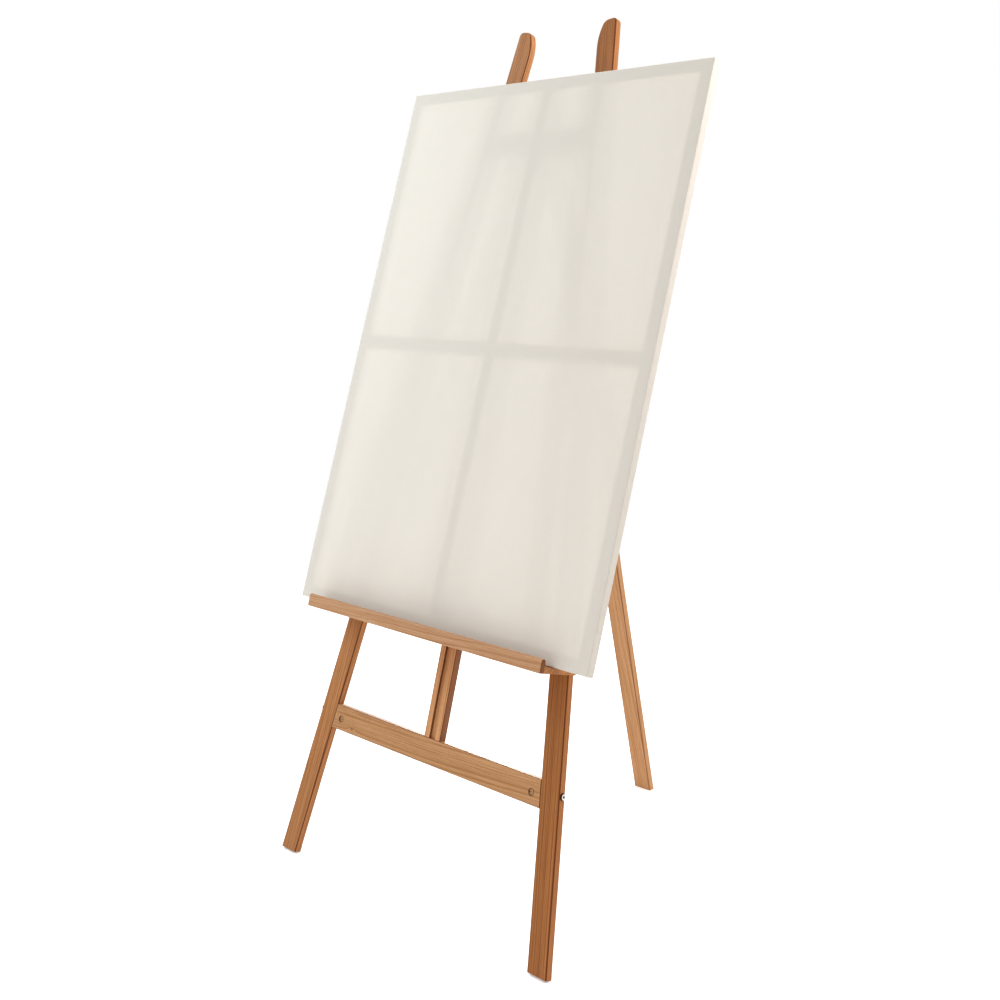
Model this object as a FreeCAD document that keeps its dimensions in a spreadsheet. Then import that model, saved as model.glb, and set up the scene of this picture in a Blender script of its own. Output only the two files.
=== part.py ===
import FreeCAD, Part
import math
import os
import re
import Sketcher

# A three-legged studio easel in beech: two splayed front legs joined by two rails, a grooved mast
# between them, a hinged rear leg, a tray that slides on the mast and a stretched canvas on the tray.
#
# Row frame: X to the right seen from the front, Y to the back, Z up, millimetres, with the origin on
# the floor below the middle of the bounding box. The front frame leans back by "tilt". Its pieces are
# drawn upright, with x across, y = 0 on the front faces and growing to the back, and z up from the
# floor line, and FRAME tilts them all about that line.

SIZES = {
    # whole stance
    "tilt": 15.65,                # lean of the front frame from the vertical, degrees
    "splay": 7.95,                # lean of each front leg inwards, degrees
    "rear_lean": 13.6,            # lean of the rear leg the other way, degrees
    "foot_half_span": 313.5,      # centre line of a front foot from the middle
    "running_gap": 0.4,           # clearance beside sliding and turning wood
    # front legs and rear leg, cut from one stock
    "leg_width": 40,
    "leg_thickness": 15,
    "leg_length": 1593,
    "wood_round": 2.5,            # rounding of the long edges
    "board_round": 1.2,           # rounding of the small boards
    "post_sweep_width": 22.5,     # the curved inner corner at the top of a post
    "post_sweep_height": 49,
    "post_sweep_round": 14,
    "post_corner_round": 8.5,
    # rails
    "rail_height": 45,
    "lower_rail_base": 249,
    "upper_rail_base": 1333.5,
    "lower_joint": 273.2,         # along the leg from its foot
    "upper_joint": 1370.3,
    "nut_setback": 18.5,          # barrel nut behind the end of its rail
    # mast
    "mast_width": 39,
    "mast_top": 1455,
    "groove_width": 14,
    "groove_depth": 5,
    "lap_depth": 9.5,             # how much of its thickness the mast keeps at the upper rail
    "dowel_radius": 4,
    "dowel_length": 40,
    "dowel_spacing": 22,
    # connector bolts and barrel nuts
    "bolt_radius": 3,
    "bolt_length": 65,
    "bolt_head_radius": 5.25,
    "bolt_head_height": 3,
    "bolt_socket": 4,             # across the flats
    "nut_radius": 4.8,
    "nut_length": 13,
    "nut_gap": 0.3,               # radial room round a barrel nut
    "nut_inset": 1,               # below the face of the rail
    "slot_width": 1.4,
    "slot_depth": 1.2,
    # wood screws
    "drill_gap": 0.05,            # radial room round every fixed screw, bolt and dowel
    "screw_radius": 2,
    "screw_head_radius": 4,
    "screw_head_depth": 2.4,
    "recess_arm": 2.2,
    "recess_width": 0.9,
    "recess_depth": 1.3,
    "short_screw": 9,
    "middle_screw": 26,
    "long_screw": 38,
    # rear hinge
    "pivot_height": 1321,
    "pivot_depth": 37.5,          # behind the front faces of the frame
    "cheek_thickness": 18,
    "cheek_round": 16,
    "hinge_bolt_radius": 4,
    "running_fit": 0.07,          # radial room of the rear leg on its hinge bolt
    "hinge_head": 13,             # across the flats of the bolt head and the nut
    "hinge_head_height": 5.3,
    "hinge_nut_height": 7.5,
    "washer_radius": 8,
    "washer_thickness": 1.6,
    # tray
    "tray_base": 468,
    "tray_half_length": 285,
    "shelf_thickness": 9,
    "shelf_gap": 1,               # between the shelf and the legs it passes
    "tray_depth": 92,
    "lip_thickness": 10,
    "lip_height": 22.5,
    "stiffener_half_length": 200,
    "stiffener_height": 35,
    "stiffener_thickness": 15,
    # carriage round the mast
    "carriage_height": 90,
    "carriage_board": 12,
    "carriage_cheek": 18,
    "clamp_height": 64,           # clamp screw above the shelf
    "clamp_depth": 7.5,
    "clamp_radius": 4,
    "insert_radius": 5.5,
    "insert_length": 14,
    "stud_length": 44,
    "stud_gap": 0.1,              # from the mast, at rest
    "knob_gap": 4,                # from the carriage
    "knob_radius": 18,
    "knob_height": 16,
    "knob_neck_radius": 9,
    "knob_neck_height": 7,
    "scallop_radius": 6,
    "scallop_offset": 21.5,
    # stretched canvas, measured over its cloth
    "canvas_width": 700,
    "canvas_height": 1000,
    "bar_width": 22,
    "bar_thickness": 15,
    "cloth_thickness": 0.6,
    "cloth_fold": 18,             # how far the cloth comes in over the back of the bars
    "brace_width": 26,            # the two braces cross in the middle, halved into each other
    "brace_thickness": 10,
    "brace_inset": 2,
    "canvas_foot": 41.3,          # back edge of the canvas in front of the legs, at the tray
    "canvas_head": 1.5,           # the same at the top, where it leans on the legs
    "canvas_rest_gap": 0.2,
    "staple_length": 10,
    "staple_width": 1,
    "staple_height": 0.6,
    "staple_inset": 9,
    "staple_pitch": 92,
}

doc = FreeCAD.newDocument("easel")
sheet = doc.addObject("Spreadsheet::Sheet", "Sizes")
for row, (alias, value) in enumerate(SIZES.items(), start=1):
    sheet.set(f"A{row}", str(value))
    sheet.setAlias(f"A{row}", alias)
doc.recompute()

V = FreeCAD.Vector
RIGHT = V(1, 0, 0)
BACK = V(0, 1, 0)
FRONT = V(0, -1, 0)
UP = V(0, 0, 1)
nodes = []


def bound(text):
    """Turns the aliases in an expression into references to the sheet."""
    return re.sub(r"[a-z_]+", lambda word: "Sizes." + word[0] if word[0] in SIZES else word[0], str(text))


def number(text):
    """The present value of an expression."""
    return float(sheet.evalExpression(bound(text)))


def bind(item, prop, text):
    item.setExpression(prop, bound(text))


def at(x, y, z, parent=None, axis=None):
    """A placement at a point given by expressions, with local Z along axis, inside parent."""
    turn = FreeCAD.Rotation(UP, axis) if axis else FreeCAD.Rotation()
    place = FreeCAD.Placement(V(number(x), number(y), number(z)), turn)
    return parent * place if parent else place


# Lengths that several pieces share, as expressions of the driving sizes.
FOOT_RISE = "(leg_thickness * tan(tilt))"
RAIL_TOP = "(lower_rail_base + rail_height)"
SHELF_TOP = "(tray_base + shelf_thickness)"
CARRIAGE_TOP = "(tray_base + shelf_thickness + carriage_height)"
CHEEK_INSIDE = "(leg_width / 2 + running_gap)"
CHEEK_OUTSIDE = "(leg_width / 2 + running_gap + cheek_thickness)"
SLIDER_INSIDE = "(mast_width / 2 + running_gap)"
SLIDER_OUTSIDE = "(mast_width / 2 + running_gap + carriage_cheek)"
PIVOT_Y = "(pivot_height * sin(tilt) + pivot_depth * cos(tilt))"
PIVOT_Z = "(pivot_height * cos(tilt) - pivot_depth * sin(tilt))"
REAR_HEEL = f"({PIVOT_Y} + {PIVOT_Z} * tan(rear_lean) + leg_thickness / 2 / cos(rear_lean))"
SPREAD = "(tilt + rear_lean)"


def leg_inner_edge(height):
    """Distance from the middle to the inner side of a front leg, at a height in the frame."""
    return f"(foot_half_span - ({height} - {FOOT_RISE}) * tan(splay) - leg_width / 2 / cos(splay))"


FRAME = FreeCAD.Placement(V(0, -number(REAR_HEEL) / 2, 0), FreeCAD.Rotation(RIGHT, -number("tilt")))
LEG = at("foot_half_span", 0, FOOT_RISE, FRAME) * FreeCAD.Placement(
    V(0, 0, 0), FreeCAD.Rotation(BACK, -number("splay")))
REAR = FreeCAD.Placement(
    V(0, number(PIVOT_Y) - number(REAR_HEEL) / 2, number(PIVOT_Z)),
    FreeCAD.Rotation(RIGHT, number("rear_lean")))
CANVAS = at(0, "-canvas_foot", f"{SHELF_TOP} + canvas_rest_gap", FRAME) * FreeCAD.Placement(
    V(0, 0, 0), FreeCAD.Rotation(RIGHT, -number("asin((canvas_foot - canvas_head) / canvas_height)")))


# ---- ways of making a piece ----

def new_body(label, placement, is_node=True):
    body = doc.addObject("PartDesign::Body", label)
    body.Label = label
    body.Placement = placement
    if is_node:
        nodes.append(body)
    return body


def sketch_on(body, role, offset="0"):
    """A sketch on one of the body's own planes, moved along the plane's normal."""
    plane = next(item for item in body.Origin.OriginFeatures if item.Role == role)
    sketch = body.newObject("Sketcher::SketchObject", body.Name + "_sketch")
    sketch.AttachmentSupport = (plane, [""])
    sketch.MapMode = "FlatFace"
    bind(sketch, "AttachmentOffset.Base.z", offset)
    return sketch


def arc_between(start, end, radius):
    """The short anticlockwise arc from start to end."""
    half_chord = (end - start) * 0.5
    across = V(-half_chord.y, half_chord.x, 0)
    across.normalize()
    centre = start + half_chord + across * math.sqrt(radius ** 2 - half_chord.Length ** 2)
    first = math.atan2(start.y - centre.y, start.x - centre.x)
    last = math.atan2(end.y - centre.y, end.x - centre.x)
    return Part.ArcOfCircle(Part.Circle(centre, UP, radius), first, last)


def outline(sketch, corners):
    """Closes a loop through corners (x, y), anticlockwise; (x, y, radius) is reached by an arc."""
    points = [V(number(corner[0]), number(corner[1]), 0) for corner in corners]
    first = sketch.GeometryCount
    total = len(corners)
    for index in range(total):
        start = points[index]
        end = points[(index + 1) % total]
        target = corners[(index + 1) % total]
        if len(target) == 3:
            sketch.addGeometry(arc_between(start, end, number(target[2])))
        else:
            sketch.addGeometry(Part.LineSegment(start, end))
    for index in range(total):
        edge = first + index
        following = first + (index + 1) % total
        sketch.addConstraint(Sketcher.Constraint("Coincident", edge, 2, following, 1))
        for kind, text, value in (("DistanceX", corners[index][0], points[index].x),
                                  ("DistanceY", corners[index][1], points[index].y)):
            place = sketch.addConstraint(Sketcher.Constraint(kind, -1, 1, edge, 1, value))
            bind(sketch, f"Constraints[{place}]", text)
        target = corners[(index + 1) % total]
        if len(target) == 3:
            size = sketch.addConstraint(Sketcher.Constraint("Radius", edge, number(target[2])))
            bind(sketch, f"Constraints[{size}]", target[2])


def circle(sketch, x, y, radius):
    geometry = sketch.addGeometry(Part.Circle(V(number(x), number(y), 0), UP, number(radius)))
    for kind, text in (("DistanceX", x), ("DistanceY", y)):
        place = sketch.addConstraint(Sketcher.Constraint(kind, -1, 1, geometry, 3, number(text)))
        bind(sketch, f"Constraints[{place}]", text)
    size = sketch.addConstraint(Sketcher.Constraint("Radius", geometry, number(radius)))
    bind(sketch, f"Constraints[{size}]", radius)


def pad(body, sketch, length, backwards=False, both_ways=False):
    feature = body.newObject("PartDesign::Pad", body.Name + "_pad")
    feature.Profile = sketch
    feature.Reversed = backwards
    feature.SideType = "Symmetric" if both_ways else "One side"
    bind(feature, "Length", length)
    doc.recompute()
    return feature


def pocket(body, sketch, length, both_ways=False):
    feature = body.newObject("PartDesign::Pocket", body.Name + "_pocket")
    feature.Profile = sketch
    feature.SideType = "Symmetric" if both_ways else "One side"
    bind(feature, "Length", length)
    before = body.Shape.Volume
    doc.recompute()
    if body.Shape.Volume >= before:
        raise RuntimeError(f"a pocket in {body.Label} removes nothing")
    return feature


def revolve(body, corners):
    """Turns a half section, drawn as (radius, height), about the body's Z axis."""
    sketch = sketch_on(body, "XZ_Plane")
    outline(sketch, corners)
    feature = body.newObject("PartDesign::Revolution", body.Name + "_turning")
    feature.Profile = sketch
    feature.ReferenceAxis = (sketch, ["V_Axis"])
    feature.Angle = 360
    doc.recompute()
    return feature


def drill(body, place, radius, length):
    """Removes a cylinder that starts at place and runs down its local Z."""
    hole = body.newObject("PartDesign::SubtractiveCylinder", body.Name + "_hole")
    bind(hole, "Radius", radius)
    bind(hole, "Height", length)
    hole.Placement = place
    before = body.Shape.Volume
    doc.recompute()
    if body.Shape.Volume >= before:
        raise RuntimeError(f"a hole in {body.Label} removes nothing")


def countersink(body, place):
    """Removes the cone that a screw head fills, opening at place and narrowing along its local Z."""
    cone = body.newObject("PartDesign::SubtractiveCone", body.Name + "_countersink")
    bind(cone, "Radius1", "screw_head_radius + drill_gap")
    bind(cone, "Radius2", "screw_radius + drill_gap")
    bind(cone, "Height", "screw_head_depth")
    cone.Placement = place
    doc.recompute()


def notch(body, corner, length, width, height):
    """Removes a box whose lowest corner is given by three expressions."""
    box = body.newObject("PartDesign::SubtractiveBox", body.Name + "_notch")
    bind(box, "Length", length)
    bind(box, "Width", width)
    bind(box, "Height", height)
    box.Placement = at(*corner)
    doc.recompute()


def round_edges(body, radius, chosen, kind="Fillet"):
    """Rounds or bevels those edges of the finished body that chosen(edge) picks."""
    base = body.Tip
    names = [f"Edge{index}" for index, edge in enumerate(base.Shape.Edges, start=1) if chosen(edge)]
    feature = body.newObject("PartDesign::" + kind, body.Name + "_edges")
    feature.Base = (base, names)
    bind(feature, "Radius" if kind == "Fillet" else "Size", radius)
    doc.recompute()


def runs_along(axis):
    """Picks straight edges parallel to an axis."""
    def test(edge):
        direction = edge.Vertexes[-1].Point - edge.Vertexes[0].Point
        return direction.Length > 0 and abs(direction.normalize().dot(axis)) > 0.999
    return test


def board(label, placement, across, up, front, thickness, rounding="board_round"):
    """A flat board, drawn from the front: across and up are (low, high), front is its face."""
    body = new_body(label, placement)
    sketch = sketch_on(body, "XZ_Plane", f"-({front})")
    outline(sketch, [(across[0], up[0]), (across[1], up[0]), (across[1], up[1]), (across[0], up[1])])
    pad(body, sketch, thickness, backwards=True)
    if rounding:
        round_edges(body, rounding, runs_along(RIGHT))
    return body


def mirrored(label, source):
    """The same piece on the other side of the easel's middle plane."""
    mirror = doc.addObject("Part::Mirroring", label)
    mirror.Label = label
    mirror.Source = source
    mirror.Base = V(0, 0, 0)
    mirror.Normal = RIGHT
    doc.recompute()
    nodes.append(mirror)
    return mirror


def group(label, pieces):
    """One node of separate solids: each of (pattern, placement) is linked in its place."""
    links = []
    for pattern, place in pieces:
        link = doc.addObject("App::Link", label + "_link")
        link.LinkedObject = pattern
        link.LinkTransform = False
        link.Placement = place
        links.append(link)
    compound = doc.addObject("Part::Compound", label)
    compound.Label = label
    compound.Links = links
    doc.recompute()
    nodes.append(compound)
    return compound


# ---- fasteners, drawn with the head at z = 0 and the shank down -Z ----

def hexagon(sketch, flats):
    corner = f"({flats} / 2 / cos(30))"
    outline(sketch, [(f"{corner} * cos({turn})", f"{corner} * sin({turn})") for turn in range(0, 360, 60)])


def screw_pattern(label, length):
    """A countersunk cross-head wood screw."""
    body = new_body(label, FreeCAD.Placement(), is_node=False)
    revolve(body, [("0", f"-{length}"), ("screw_radius", f"-{length} + screw_radius * 2"),
                   ("screw_radius", "-screw_head_depth"), ("screw_head_radius", "0"), ("0", "0")])
    arm, side = "recess_arm", "(recess_width / 2)"
    quarter = [(arm, f"-{side}"), (arm, side), (side, side)]
    cross = []
    for _ in range(4):
        cross += quarter
        quarter = [(f"-{y}".replace("--", ""), x) for x, y in quarter]
    recess = sketch_on(body, "XY_Plane")
    outline(recess, cross)
    pocket(body, recess, "recess_depth")
    return body


def fasten(label, length, into, places):
    """Countersunk screws in the frame: each of places is a head and the pieces it goes through."""
    pattern = screw_pattern(label + "_pattern", length)
    for head, pieces in places:
        hole = at(*head, axis=into)
        countersink(pieces[0], hole)
        for body in pieces:
            drill(body, hole, "screw_radius + drill_gap", length)
    group(label, [(pattern, at(*head, FRAME, into * -1)) for head, _ in places])


def bolt_pattern():
    """A connector bolt with a round socket head that stands on the wood."""
    body = new_body("joint_bolt", FreeCAD.Placement(), is_node=False)
    revolve(body, [("0", "-bolt_length"), ("bolt_radius", "-bolt_length"), ("bolt_radius", "0"),
                   ("bolt_head_radius", "0"), ("bolt_head_radius", "bolt_head_height"),
                   ("0", "bolt_head_height")])
    round_edges(body, "bolt_head_height / 4",
                lambda edge: edge.BoundBox.ZMin > number("bolt_head_height") - 0.01)
    socket = sketch_on(body, "XY_Plane", "bolt_head_height")
    hexagon(socket, "bolt_socket")
    pocket(body, socket, "bolt_head_height * 0.8")
    return body


def barrel_nut_pattern():
    """A cross dowel with a screwdriver slot in its end and the bolt's hole across it."""
    body = new_body("barrel_nut", FreeCAD.Placement(), is_node=False)
    revolve(body, [("0", "-nut_length"), ("nut_radius", "-nut_length"), ("nut_radius", "0"), ("0", "0")])
    notch(body, ("-nut_radius", "-slot_width / 2", "-slot_depth"),
          "nut_radius * 2", "slot_width", "slot_depth")
    drill(body, at("-nut_radius", 0, "nut_inset - leg_thickness / 2", axis=RIGHT), "bolt_radius + drill_gap",
          "nut_radius * 2")
    return body


# ---- front frame ----

def front_leg():
    """The right leg, drawn from the front about its own centre line, foot at z = 0."""
    body = new_body("right_front_leg", LEG)
    half = "leg_width / 2"
    toe = "leg_width / 2 * tan(splay)"
    top, corner = "leg_length", "post_corner_round"
    wide, high, small = "post_sweep_width", "post_sweep_height", "post_sweep_round"
    # two tangent arcs make the sweep: a large one up the side and a small one over the top
    large = f"(({wide}^2 + {high}^2 - 2 * {high} * {small}) / (2 * ({wide} - {small})))"
    share = f"({large} / ({large} - {small}))"
    meet_x = f"-{half} + {large} - ({large} - {wide}) * {share}"
    meet_z = f"{top} - {high} + ({high} - {small}) * {share}"
    sketch = sketch_on(body, "XZ_Plane")
    outline(sketch, [
        (f"-{half}", toe),
        (half, f"-{toe}"),
        (half, f"{top} - {corner}"),
        (f"{half} - {corner}", top, corner),
        (f"-{half} + {wide}", top),
        (meet_x, meet_z, small),
        (f"-{half}", f"{top} - {high}", large),
    ])
    pad(body, sketch, "leg_thickness", backwards=True)
    for height in ("lower_joint", "upper_joint"):
        drill(body, at(f"-{half} - 1", "leg_thickness / 2", height, axis=RIGHT),
              "bolt_radius + 0.1", "leg_width + 2")
    thickness = number("leg_thickness")

    def on_the_rim(edge):
        box = edge.BoundBox
        flat = box.YLength < 0.01 and min(abs(box.YMin), abs(box.YMin - thickness)) < 0.01
        return flat and box.ZMax > number("leg_width")
    round_edges(body, "wood_round", on_the_rim)
    return body


def joint_point(joint, across):
    """A point on a leg's bolt axis, in frame coordinates: across is measured from the centre line."""
    x = f"(foot_half_span + ({across}) * cos(splay) - {joint} * sin(splay))"
    z = f"({FOOT_RISE} + ({across}) * sin(splay) + {joint} * cos(splay))"
    return x, z


def rail(label, base, joint):
    """A rail between the legs, with a bolt hole in each end and a hole for each barrel nut."""
    body = new_body(label, FRAME)
    low, high = base, f"({base} + rail_height)"
    sketch = sketch_on(body, "XZ_Plane")
    outline(sketch, [(f"-{leg_inner_edge(low)}", low), (leg_inner_edge(low), low),
                     (leg_inner_edge(high), high), (f"-{leg_inner_edge(high)}", high)])
    pad(body, sketch, "leg_thickness", backwards=True)
    splay = math.radians(number("splay"))
    for side in (-1, 1):
        x, z = joint_point(joint, "-leg_width / 2")
        inwards = V(-side * math.cos(splay), 0, -math.sin(splay))
        drill(body, at(f"{side} * {x}", "leg_thickness / 2", z, axis=inwards),
              "bolt_radius + 0.1", "bolt_length - leg_width + 2")
        x, z = joint_point(joint, "-leg_width / 2 - nut_setback")
        drill(body, at(f"{side} * {x}", 0, z, axis=BACK), "nut_radius + nut_gap", "nut_length + nut_inset")
    return body


def lower_rail():
    body = rail("lower_rail", "lower_rail_base", "lower_joint")
    for side in (-1, 1):
        drill(body, at(f"{side} * dowel_spacing / 2", "leg_thickness / 2", f"{RAIL_TOP} - dowel_length / 2"),
              "dowel_radius + drill_gap", "dowel_length")
    round_edges(body, "board_round", runs_along(RIGHT))


def upper_rail():
    """The rail that carries the hinge; the mast is let into its front."""
    body = rail("upper_rail", "upper_rail_base", "upper_joint")
    round_edges(body, "board_round", runs_along(RIGHT))
    notch(body, ("-mast_width / 2", 0, "upper_rail_base"), "mast_width", "lap_depth", "rail_height")
    return body


def mast():
    """A channel with its groove to the front, standing on the lower rail."""
    body = new_body("mast", FRAME)
    half, slot = "mast_width / 2", "groove_width / 2"
    sketch = sketch_on(body, "XY_Plane", RAIL_TOP)
    outline(sketch, [(f"-{half}", "0"), (f"-{slot}", "0"), (f"-{slot}", "groove_depth"),
                     (slot, "groove_depth"), (slot, "0"), (half, "0"), (half, "leg_thickness"),
                     (f"-{half}", "leg_thickness")])
    pad(body, sketch, f"mast_top - {RAIL_TOP}")
    outer = number(half) - 0.01
    round_edges(body, "board_round", lambda edge: runs_along(UP)(edge) and abs(edge.Vertexes[0].X) > outer)
    notch(body, (f"-{half}", "lap_depth", "upper_rail_base"), "mast_width", "leg_thickness - lap_depth",
          "rail_height")
    for side in (-1, 1):
        drill(body, at(f"{side} * dowel_spacing / 2", "leg_thickness / 2", f"{RAIL_TOP} - 1"),
              "dowel_radius + drill_gap", "dowel_length / 2 + 1")
    return body


def mast_dowels():
    dowel = new_body("mast_dowel", FreeCAD.Placement(), is_node=False)
    sketch = sketch_on(dowel, "XY_Plane")
    circle(sketch, "0", "0", "dowel_radius")
    pad(dowel, sketch, "dowel_length")
    foot = f"{RAIL_TOP} - dowel_length / 2"
    group("mast_dowels", [(dowel, at(f"{side} * dowel_spacing / 2", "leg_thickness / 2", foot, FRAME))
                          for side in (-1, 1)])


def joint_hardware():
    """Four connector bolts through the legs and the four barrel nuts they pull on."""
    bolt, nut = bolt_pattern(), barrel_nut_pattern()
    splay = math.radians(number("splay"))
    bolts, nuts = [], []
    for joint in ("lower_joint", "upper_joint"):
        for side in (-1, 1):
            x, z = joint_point(joint, "leg_width / 2")
            outwards = V(side * math.cos(splay), 0, math.sin(splay))
            bolts.append((bolt, at(f"{side} * {x}", "leg_thickness / 2", z, FRAME, outwards)))
            x, z = joint_point(joint, "-leg_width / 2 - nut_setback")
            turn = FreeCAD.Placement(V(0, 0, 0), FreeCAD.Rotation(BACK, -side * number("splay")))
            face = FreeCAD.Placement(V(0, 0, 0), FreeCAD.Rotation(RIGHT, 90))
            nuts.append((nut, at(f"{side} * {x}", "nut_inset", z, FRAME) * turn * face))
    group("joint_bolts", bolts)
    group("barrel_nuts", nuts)


# ---- rear hinge and rear leg ----

def hinge_cheek(label, start):
    """One ear of the hinge: a shaped block behind the upper rail, with the bolt hole below it."""
    body = new_body(label, FRAME)
    back, top = "leg_thickness", "(upper_rail_base + rail_height)"
    sketch = sketch_on(body, "YZ_Plane", start)
    outline(sketch, [
        (back, "pivot_height - cheek_round"),
        ("pivot_depth", "pivot_height - cheek_round"),
        ("pivot_depth + cheek_round", "pivot_height", "cheek_round"),
        (f"{back} + cheek_round", top),
        (back, top),
    ])
    pad(body, sketch, "cheek_thickness")
    drill(body, at(f"{start} - 1", "pivot_depth", "pivot_height", axis=RIGHT),
          "hinge_bolt_radius + drill_gap", "cheek_thickness + 2")
    behind, long_edge = number("pivot_depth"), number("cheek_round")
    round_edges(body, "board_round", lambda edge: edge.BoundBox.XLength < 0.01
                and edge.BoundBox.YMax > behind and edge.BoundBox.DiagonalLength > long_edge)
    return body


def hinge_hardware():
    """Hexagon bolt, two washers and a lock nut through the cheeks and the rear leg."""
    bolt = new_body("hinge_bolt", at(f"-{CHEEK_OUTSIDE} - washer_thickness", "pivot_depth", "pivot_height",
                                     FRAME, RIGHT))
    head = sketch_on(bolt, "XY_Plane")
    hexagon(head, "hinge_head")
    pad(bolt, head, "hinge_head_height", backwards=True)
    shank = sketch_on(bolt, "XY_Plane")
    circle(shank, "0", "0", "hinge_bolt_radius")
    pad(bolt, shank, f"2 * {CHEEK_OUTSIDE} + 2 * washer_thickness + hinge_nut_height + 2")

    washer = new_body("hinge_washer", FreeCAD.Placement(), is_node=False)
    bore = "hinge_bolt_radius + drill_gap"
    revolve(washer, [(bore, "0"), ("washer_radius", "0"), ("washer_radius", "washer_thickness"),
                     (bore, "washer_thickness")])
    group("hinge_washers", [
        (washer, at(f"-{CHEEK_OUTSIDE} - washer_thickness", "pivot_depth", "pivot_height", FRAME, RIGHT)),
        (washer, at(CHEEK_OUTSIDE, "pivot_depth", "pivot_height", FRAME, RIGHT))])

    nut = new_body("hinge_nut", at(f"{CHEEK_OUTSIDE} + washer_thickness", "pivot_depth", "pivot_height",
                                   FRAME, RIGHT))
    sketch = sketch_on(nut, "XY_Plane")
    hexagon(sketch, "hinge_head")
    circle(sketch, "0", "0", bore)
    pad(nut, sketch, "hinge_nut_height")


def rear_leg():
    """Drawn from the side about the pivot; its slanted top bears on the rail and stops the spread."""
    body = new_body("rear_leg", REAR)
    half = "leg_thickness / 2"
    reach = "(pivot_depth - leg_thickness - running_gap / 2)"
    sketch = sketch_on(body, "YZ_Plane")
    outline(sketch, [
        (f"-{half}", f"-({PIVOT_Z} - {half} * sin(rear_lean)) / cos(rear_lean)"),
        (half, f"-({PIVOT_Z} + {half} * sin(rear_lean)) / cos(rear_lean)"),
        (half, f"({reach} + {half} * cos({SPREAD})) / sin({SPREAD})"),
        (f"-{half}", f"({reach} - {half} * cos({SPREAD})) / sin({SPREAD})"),
    ])
    pad(body, sketch, "leg_width", both_ways=True)
    drill(body, at("-leg_width / 2 - 1", 0, 0, axis=RIGHT),
          "hinge_bolt_radius + running_fit", "leg_width + 2")
    long_edge = number("leg_length") / 2
    round_edges(body, "wood_round", lambda edge: runs_along(UP)(edge) and edge.Length > long_edge)
    return body


# ---- tray and its carriage ----

def tray():
    """Shelf, front lip and the stiffener behind the canvas, with the screws up through the shelf."""
    ends = ("-tray_half_length", "tray_half_length")
    shelf = board("tray_shelf", FRAME, ends, ("tray_base", SHELF_TOP), "lip_thickness - tray_depth",
                  "tray_depth - lip_thickness - shelf_gap", rounding=None)
    lip = board("tray_lip", FRAME, ends, ("tray_base", "tray_base + lip_height"), "-tray_depth",
                "lip_thickness", rounding=None)
    lip_top = number("tray_base + lip_height") - 0.01
    round_edges(lip, "lip_thickness * 0.48",
                lambda edge: runs_along(RIGHT)(edge) and edge.BoundBox.ZMin > lip_top)
    front = "(-shelf_gap - carriage_board - stiffener_thickness)"
    stiffener_top = f"({SHELF_TOP} + stiffener_height)"
    stiffener = board("tray_stiffener", FRAME, ("-stiffener_half_length", "stiffener_half_length"),
                      (SHELF_TOP, stiffener_top), front, "stiffener_thickness", rounding=None)
    box_top, box_front = number(stiffener_top) - 0.01, number(front) + 0.01
    round_edges(stiffener, "wood_round", lambda edge: runs_along(RIGHT)(edge)
                and edge.BoundBox.ZMin > box_top and edge.BoundBox.YMax < box_front)
    fasten("tray_screws", "middle_screw", UP, [
        ((f"{share} * stiffener_half_length", f"{front} + stiffener_thickness / 2", "tray_base"),
         (shelf, stiffener)) for share in (-0.9, -0.35, 0.35, 0.9)])
    return stiffener


def carriage(stiffener):
    """A box of four boards round the mast, with a tongue that runs in the groove."""
    sides = (f"-{SLIDER_OUTSIDE}", SLIDER_OUTSIDE)
    span = (SHELF_TOP, CARRIAGE_TOP)
    plate = board("carriage_plate", FRAME, sides, span, "-shelf_gap - carriage_board", "carriage_board")
    strap = board("carriage_strap", FRAME, sides, span, "leg_thickness + running_gap", "carriage_board")
    board("guide_tongue", FRAME, ("running_gap - groove_width / 2", "groove_width / 2 - running_gap"), span,
          "-shelf_gap", "shelf_gap + groove_depth - running_gap", rounding=None)
    depth = "leg_thickness + running_gap + shelf_gap"
    cheeks = {
        -1: board("left_carriage_cheek", FRAME, (f"-{SLIDER_OUTSIDE}", f"-{SLIDER_INSIDE}"), span,
                  "-shelf_gap", depth, rounding=None),
        1: board("right_carriage_cheek", FRAME, (SLIDER_INSIDE, SLIDER_OUTSIDE), span,
                 "-shelf_gap", depth, rounding=None)}
    fasten("carriage_screws", "long_screw", FRONT, [
        ((f"{side} * ({SLIDER_INSIDE} + carriage_cheek / 2)", "leg_thickness + running_gap + carriage_board",
          f"{SHELF_TOP} + {share} * carriage_height"), (strap, cheek, plate))
        for side, cheek in cheeks.items() for share in (0.15, 0.88)])
    fasten("plate_screws", "middle_screw", BACK, [
        ((f"{side} * groove_width", "-shelf_gap - carriage_board - stiffener_thickness",
          f"{SHELF_TOP} + stiffener_height / 2"), (stiffener, plate)) for side in (-1, 1)])
    return cheeks[1]


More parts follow.
